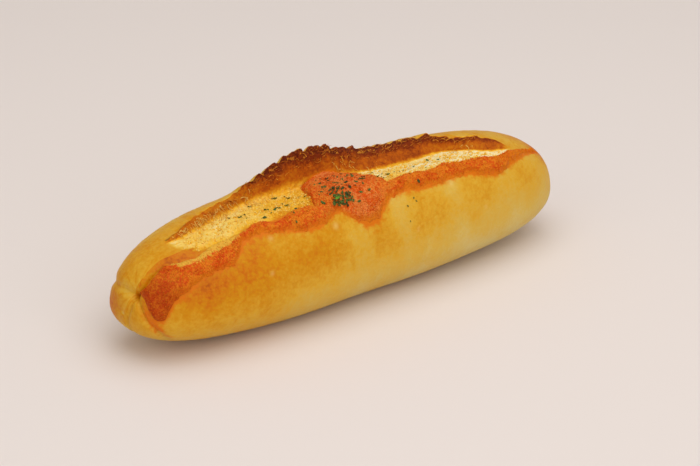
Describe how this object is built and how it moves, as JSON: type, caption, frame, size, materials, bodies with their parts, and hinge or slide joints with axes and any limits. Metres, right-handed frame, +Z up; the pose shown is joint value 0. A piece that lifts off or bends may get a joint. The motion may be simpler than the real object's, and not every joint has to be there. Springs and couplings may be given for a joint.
{
  "type": "baguette with cod roe spread",
  "caption": "Short slit baguette with a raised torn ear, orange roe spread along the slit and parsley flakes.",
  "frame": {"origin": "middle of the loaf's bounding box, on the plane that it stands on", "axes": "+X along the loaf, away from its folded end; +Y towards the back of the ear; +Z up"},
  "size_m": [0.2202, 0.0586, 0.0628],
  "materials": {
    "crust": "satin",
    "roe": "matte",
    "parsley": "matte"
  },
  "bodies": {
    "root": {"loaf": "crust", "roe_spread": "roe"}
  },
  "joints": []
}
